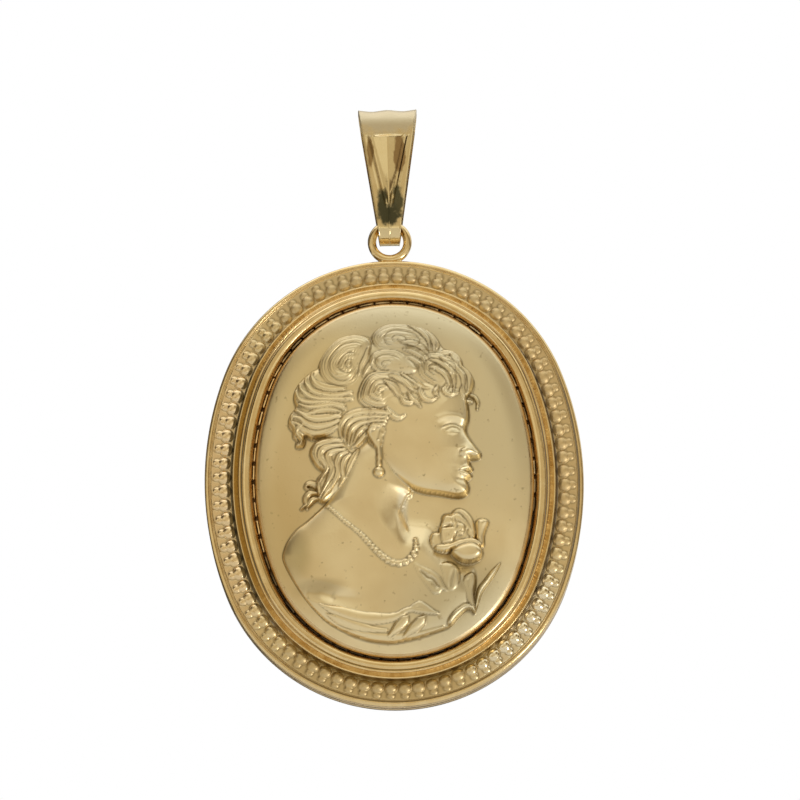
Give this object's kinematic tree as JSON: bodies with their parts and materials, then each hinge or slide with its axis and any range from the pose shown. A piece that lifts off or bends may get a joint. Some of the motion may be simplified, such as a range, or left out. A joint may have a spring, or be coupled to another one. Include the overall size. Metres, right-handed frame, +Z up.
{
  "type": "cameo pendant",
  "caption": "Gold oval pendant with a raised lady's bust in a beaded frame, hanging by a soldered ring from a tapered bail.",
  "frame": {"origin": "inside of the bail's top bend, where a neck chain carries it", "axes": "+Z up along the pendant as it hangs, the front faces -Y, +X to the viewer's right"},
  "size_m": [0.034, 0.0064, 0.0555],
  "materials": {
    "frame": "polished yellow gold",
    "gallery": "polished yellow gold",
    "cameo": "satin yellow gold with a polished edge",
    "bail": "polished yellow gold"
  },
  "bodies": {
    "bail": {"bail": "bail"},
    "pendant": {"frame": "frame", "gallery": "gallery", "cameo": "cameo"}
  },
  "joints": [
    {"name": "ring_swing", "type": "hinge", "parent": "bail", "child": "pendant", "pos_m": [0, 0, -0.01052], "axis": [1, 0, 0], "range_deg": [-80, 80]}
  ]
}
